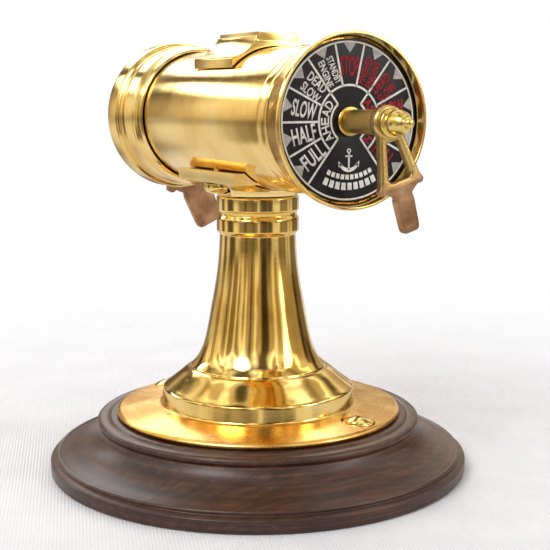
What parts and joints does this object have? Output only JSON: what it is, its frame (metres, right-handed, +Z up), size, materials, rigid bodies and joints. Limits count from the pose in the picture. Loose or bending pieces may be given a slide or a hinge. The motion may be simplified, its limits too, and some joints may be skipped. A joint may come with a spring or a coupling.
{
  "type": "ship engine telegraph",
  "caption": "Desk-size ship engine telegraph: horizontal brass drum with a dial and lever at each end, on a turned column and stepped wooden base.",
  "frame": {"origin": "centre of the wooden base's underside, on the surface it stands on", "axes": "+Z up the column, -Y out of the front dial, +X to the right of a person facing the front dial"},
  "size_m": [0.127, 0.1532, 0.1301],
  "materials": {
    "polished_brass": "polished, lacquered, with fine turning marks",
    "zinc_steel": "zinc plated",
    "stained_wood": "dark stain under satin varnish",
    "green_felt": "felt",
    "printed_card": "gloss print"
  },
  "bodies": {
    "stand": {"barrel": "polished_brass", "base_felt": "green_felt", "base_nut": "zinc_steel", "base_washer": "zinc_steel", "column_bolt": "zinc_steel", "flange_screw_1": "polished_brass", "flange_screw_2": "polished_brass", "front_bush": "polished_brass", "front_dial_card": "printed_card", "front_dial_plate": "polished_brass", "lower_saddle": "polished_brass", "pad_screw_1": "zinc_steel", "pad_screw_2": "zinc_steel", "pedestal": "polished_brass", "rear_bezel": "polished_brass", "rear_bush": "polished_brass", "rear_dial_card": "printed_card", "rear_dial_plate": "polished_brass", "saddle_screw_left": "polished_brass", "saddle_screw_right": "polished_brass", "top_pad": "polished_brass", "wooden_base": "stained_wood"},
    "levers": {"front_acorn_nut": "polished_brass", "front_lever": "polished_brass", "front_set_screw": "zinc_steel", "front_shaft_collar": "polished_brass", "front_spacer": "polished_brass", "lever_shaft": "zinc_steel", "rear_acorn_nut": "polished_brass", "rear_lever": "polished_brass", "rear_set_screw": "zinc_steel", "rear_shaft_collar": "polished_brass", "rear_spacer": "polished_brass", "spring_washer": "zinc_steel"}
  },
  "joints": [
    {"name": "lever_turn", "type": "hinge", "parent": "stand", "child": "levers", "pos_m": [0, 0, 0.1055], "axis": [0, 1, 0], "continuous": true}
  ]
}
